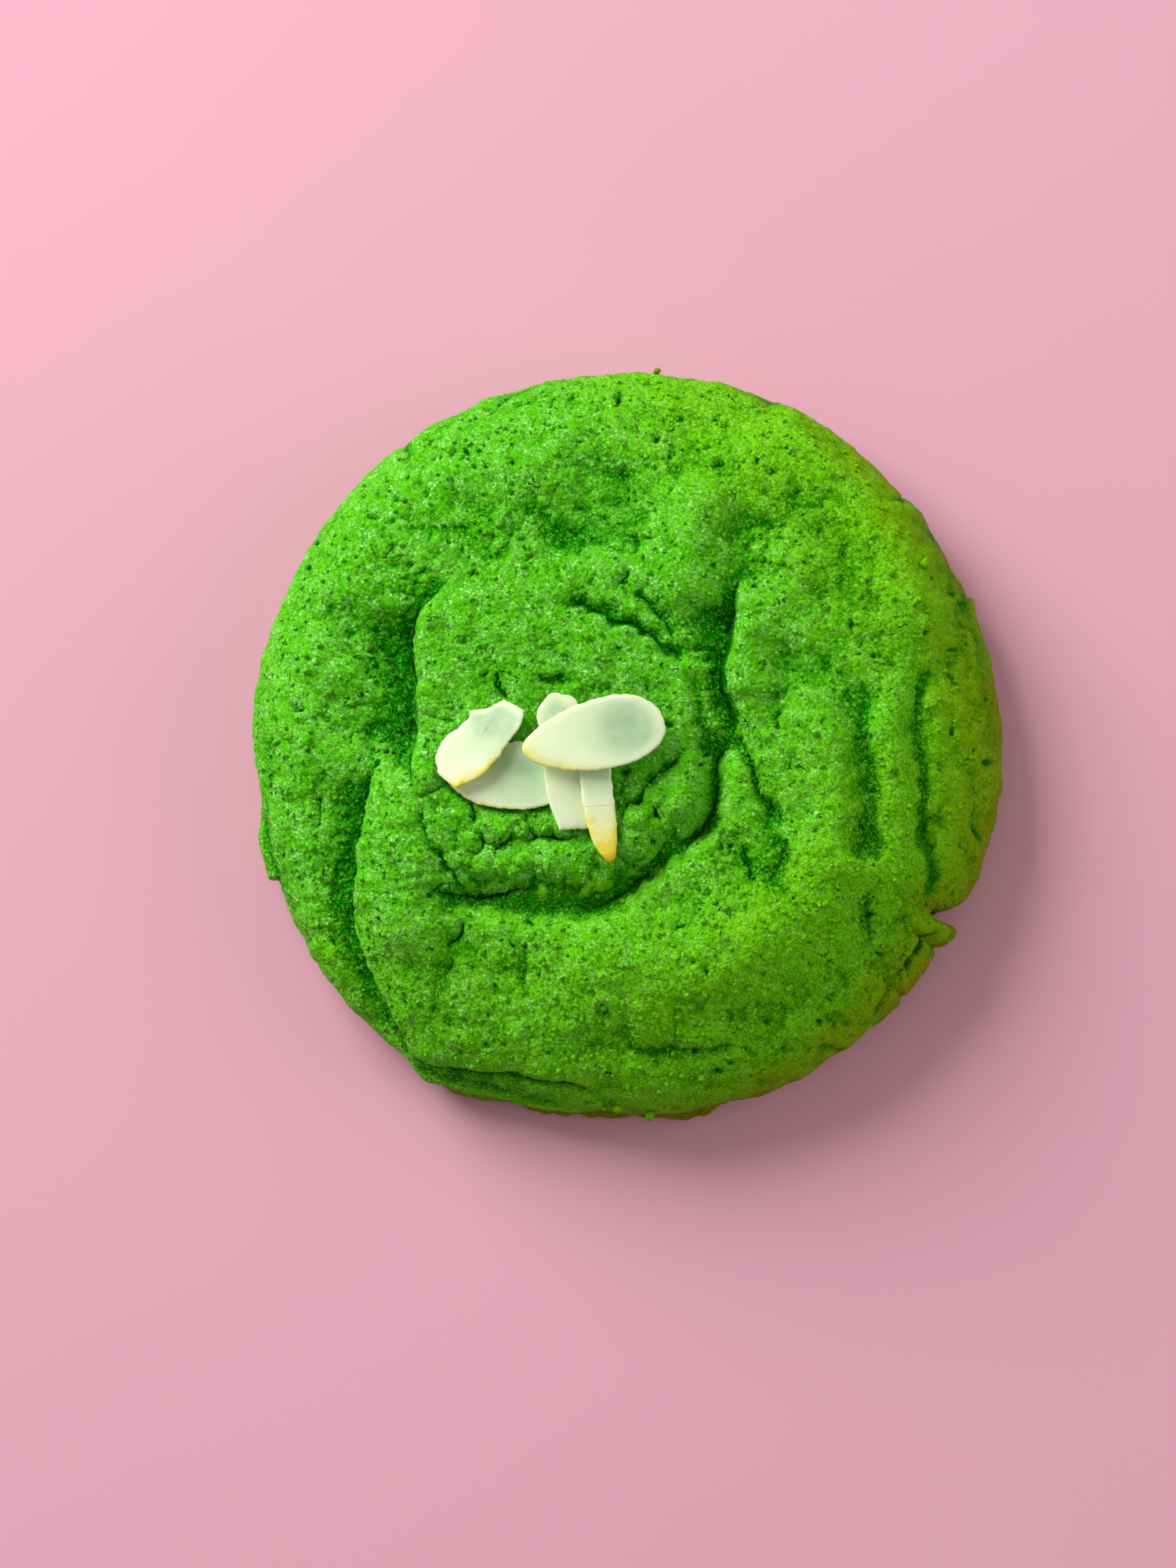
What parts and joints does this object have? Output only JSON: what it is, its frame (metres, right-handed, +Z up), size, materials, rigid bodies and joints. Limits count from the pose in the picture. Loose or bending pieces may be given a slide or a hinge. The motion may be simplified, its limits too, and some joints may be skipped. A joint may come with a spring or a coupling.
{
  "type": "pandan cookie",
  "caption": "Thick round soft-baked green cookie with a coiled, folded top, a split in the rim, and flaked almond slices lying over the middle.",
  "frame": {"origin": "on the flat base, in the middle of the cookie's outline", "axes": "+Z up through the thickness, out of the decorated top; the split in the rim is on the +X side, towards -Y"},
  "size_m": [0.1094, 0.1092, 0.0264],
  "materials": {
    "pandan_dough": "matt, grainy baked crumb with a faint sugary sheen",
    "toasted_almond": "smooth, waxy and slightly translucent, browned at some edges"
  },
  "bodies": {
    "root": {"dough": "pandan_dough", "almond_lower_left": "toasted_almond", "almond_upper_left": "toasted_almond", "almond_upright": "toasted_almond", "almond_browned": "toasted_almond", "almond_oval": "toasted_almond"}
  },
  "joints": []
}
